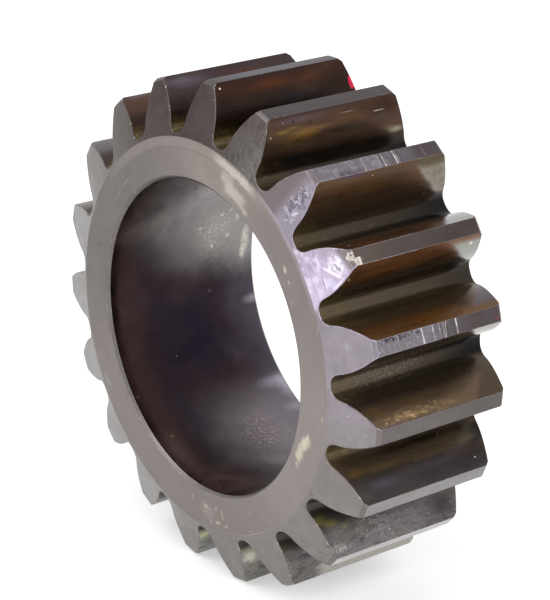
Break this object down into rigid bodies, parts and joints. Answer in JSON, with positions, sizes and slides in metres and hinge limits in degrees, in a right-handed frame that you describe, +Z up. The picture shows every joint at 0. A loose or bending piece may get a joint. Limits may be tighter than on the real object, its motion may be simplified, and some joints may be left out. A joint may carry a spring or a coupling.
{
  "type": "planet gear",
  "caption": "Straight-toothed planet gear: a thick steel ring with a plain bore, involute teeth with sloping ends, and flat thrust faces.",
  "frame": {"origin": "on the bore's axis, halfway between the two thrust faces", "axes": "+Y along the bore's axis, from the face seen in the picture towards the far one; +Z up through the middle of one tooth, so that the gear stands on its two lowest teeth"},
  "size_m": [0.107, 0.039, 0.1067],
  "materials": {
    "gear_steel": "satin machined steel, dark and oil-stained on the tooth flanks and in the bore"
  },
  "bodies": {
    "root": {"planet_gear": "gear_steel"}
  },
  "joints": []
}
